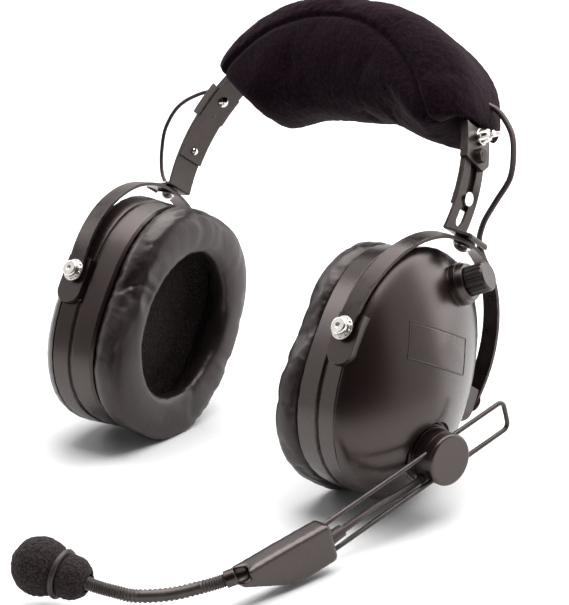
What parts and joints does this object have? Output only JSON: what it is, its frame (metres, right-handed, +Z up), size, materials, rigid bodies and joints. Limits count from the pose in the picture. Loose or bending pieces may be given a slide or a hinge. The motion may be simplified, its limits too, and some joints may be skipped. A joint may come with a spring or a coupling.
{
  "type": "over-ear headset with boom microphone",
  "caption": "Over-ear cockpit headset with a sprung padded headband, sealed ear cups on swivelling stirrups and a wire boom microphone.",
  "frame": {"origin": "middle of the bounding box's base, on the floor that the ear cups stand on", "axes": "+Z up, +Y towards the back of the wearer's head, +X towards the wearer's left"},
  "size_m": [0.2206, 0.2845, 0.1901],
  "materials": {
    "black_steel": "satin black paint on sprung steel",
    "shell_plastic": "fine-grained satin black moulding",
    "vinyl": "soft wrinkled black vinyl",
    "fleece": "black fleece pile",
    "rubber": "black rubber",
    "foam": "open-cell black foam",
    "nickel": "bright nickel plate",
    "wire_steel": "glossy black-finished wire",
    "knob_plastic": "matt black moulding",
    "neck_metal": "black-finished metal hose",
    "inner_metal": "plain metal, hidden inside"
  },
  "bodies": {
    "headband": {"headband_spring": "black_steel", "head_pad": "fleece", "bracket_l": "black_steel", "bracket_r": "black_steel", "clamp_screws": "nickel", "lock_nuts": "black_steel", "guide_rivets": "nickel", "crossover_lead_l": "rubber", "crossover_lead_r": "rubber"},
    "wing_nut_l": {"wing_nut_l": "nickel"},
    "slider_l": {"slider_l": "black_steel", "swivel_rivet_l": "nickel", "swivel_washers_l": "black_steel"},
    "stirrup_l": {"stirrup_l": "black_steel"},
    "cup_l": {"dome_l": "shell_plastic", "cup_base_l": "shell_plastic", "ear_seal_l": "vinyl", "foam_liner_l": "foam", "speaker_l": "inner_metal", "dome_foam_l": "foam", "pivot_screws_l": "nickel", "pivot_washers_l": "nickel", "lead_grommet_l": "rubber", "volume_bezel": "shell_plastic", "volume_pot": "inner_metal", "boom_base": "shell_plastic"},
    "clamp_nut_r": {"clamp_nut_r": "nickel"},
    "slider_r": {"slider_r": "black_steel", "swivel_rivet_r": "nickel", "swivel_washers_r": "black_steel"},
    "stirrup_r": {"stirrup_r": "black_steel"},
    "cup_r": {"dome_r": "shell_plastic", "cup_base_r": "shell_plastic", "ear_seal_r": "vinyl", "foam_liner_r": "foam", "speaker_r": "inner_metal", "dome_foam_r": "foam", "pivot_screws_r": "nickel", "pivot_washers_r": "nickel", "lead_grommet_r": "rubber", "cord_inlet": "rubber"},
    "volume_knob": {"volume_knob": "knob_plastic"},
    "boom_hub": {"boom_drum": "shell_plastic", "boom_cap": "shell_plastic", "lead_gland": "rubber"},
    "boom": {"boom_wire": "wire_steel", "boom_block": "shell_plastic", "lead_relief": "rubber", "neck_collar": "shell_plastic", "gooseneck": "neck_metal", "mic_lead": "rubber"},
    "mic": {"mic_capsule": "inner_metal", "windscreen": "foam", "windscreen_ring": "rubber"}
  },
  "joints": [
    {"name": "wing_nut_spin_l", "type": "hinge", "parent": "headband", "child": "wing_nut_l", "pos_m": [0.06866, 0.09182, 0.13888], "axis": [0.9269, 0.195, 0.3208], "continuous": true},
    {"name": "slider_travel_l", "type": "hinge", "parent": "headband", "child": "slider_l", "pos_m": [-0.00595, 0.07612, 0.11306], "axis": [0.0262, 0.8189, -0.5734], "range_deg": [-5.5, 14], "deforming": ["crossover_lead_l"]},
    {"name": "swivel_l", "type": "hinge", "parent": "slider_l", "child": "stirrup_l", "pos_m": [0.07798, 0.06682, 0.09978], "axis": [0.1097, 0.5701, 0.8142], "range_deg": [-15, 15], "deforming": ["crossover_lead_l"]},
    {"name": "cup_tilt_l", "type": "hinge", "parent": "stirrup_l", "child": "cup_l", "pos_m": [0.07194, 0.03547, 0.05499], "axis": [0.052, 0.8147, -0.5775], "range_deg": [-10, 10], "deforming": ["crossover_lead_l"]},
    {"name": "clamp_nut_spin_r", "type": "hinge", "parent": "headband", "child": "clamp_nut_r", "pos_m": [-0.07918, 0.09684, 0.13931], "axis": [-0.9096, 0.2574, 0.326], "continuous": true},
    {"name": "slider_travel_r", "type": "hinge", "parent": "headband", "child": "slider_r", "pos_m": [-0.00595, 0.07612, 0.11306], "axis": [0.0262, 0.8189, -0.5734], "range_deg": [-11.5, 1.5], "deforming": ["crossover_lead_r"]},
    {"name": "swivel_r", "type": "hinge", "parent": "slider_r", "child": "stirrup_r", "pos_m": [-0.08988, 0.06682, 0.09978], "axis": [-0.1097, 0.5701, 0.8142], "range_deg": [-15, 15], "deforming": ["crossover_lead_r"]},
    {"name": "cup_tilt_r", "type": "hinge", "parent": "stirrup_r", "child": "cup_r", "pos_m": [-0.08384, 0.03547, 0.05499], "axis": [-0.052, 0.8147, -0.5775], "range_deg": [-10, 10], "deforming": ["crossover_lead_r"]},
    {"name": "volume_turn", "type": "hinge", "parent": "cup_l", "child": "volume_knob", "pos_m": [0.08543, 0.05744, 0.08722], "axis": [0.9051, 0.2058, 0.3719], "range_deg": [-150, 150]},
    {"name": "boom_swing", "type": "hinge", "parent": "cup_l", "child": "boom_hub", "pos_m": [0.09206, 0.01818, 0.0274], "axis": [0.9823, -0.1872, 0.0044], "range_deg": [-100, 25]},
    {"name": "boom_slide", "type": "slide", "parent": "boom_hub", "child": "boom", "axis": [-0.1813, -0.9567, -0.2278], "range_m": [-0.03, 0.022], "deforming": ["mic_lead"]},
    {"name": "neck_bend", "type": "hinge", "parent": "boom", "child": "mic", "pos_m": [0.06503, -0.10808, 0.00849], "axis": [0.0468, 0.2229, -0.9737], "range_deg": [-25, 25], "deforming": ["gooseneck"]}
  ]
}
